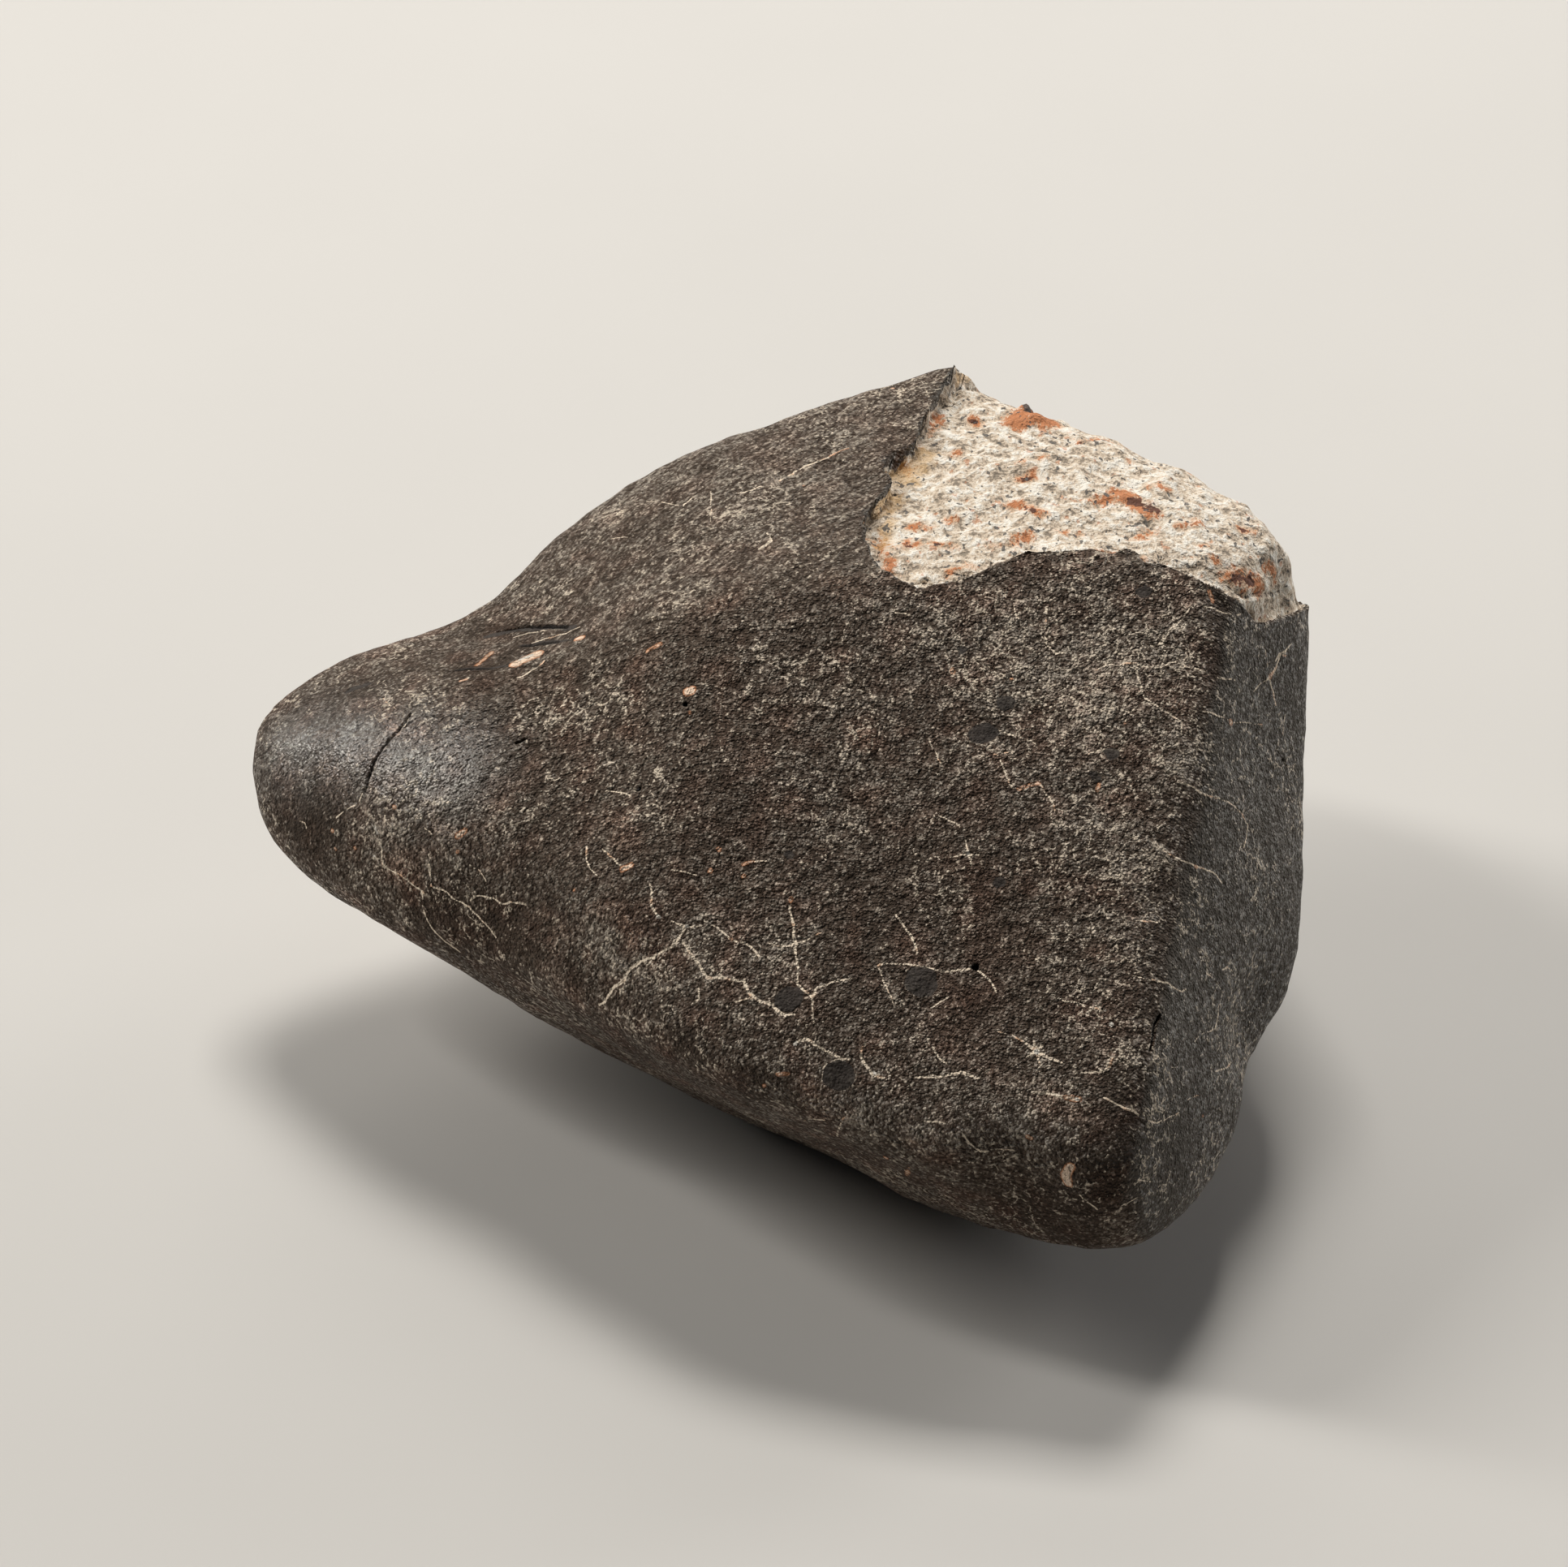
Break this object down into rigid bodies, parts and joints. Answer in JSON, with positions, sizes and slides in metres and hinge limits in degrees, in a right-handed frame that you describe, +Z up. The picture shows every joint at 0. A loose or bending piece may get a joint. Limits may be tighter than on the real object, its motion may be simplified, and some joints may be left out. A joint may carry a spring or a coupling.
{
  "type": "chondrite meteorite",
  "caption": "Blunt-nosed, many-sided stone meteorite with a dark cracked fusion crust and a broken corner that shows the pale inside.",
  "frame": {"origin": "on the surface that the stone rests on, under the middle of its box", "axes": "+Z up, +X from the nose to the thick end, the big front slope faces -Y"},
  "size_m": [0.057, 0.0534, 0.0288],
  "materials": {
    "stone": "matt brown-grey fusion crust with pale hairline cracks; cream, rust-flecked stone where it is broken"
  },
  "bodies": {
    "root": {"meteorite_stone": "stone"}
  },
  "joints": []
}
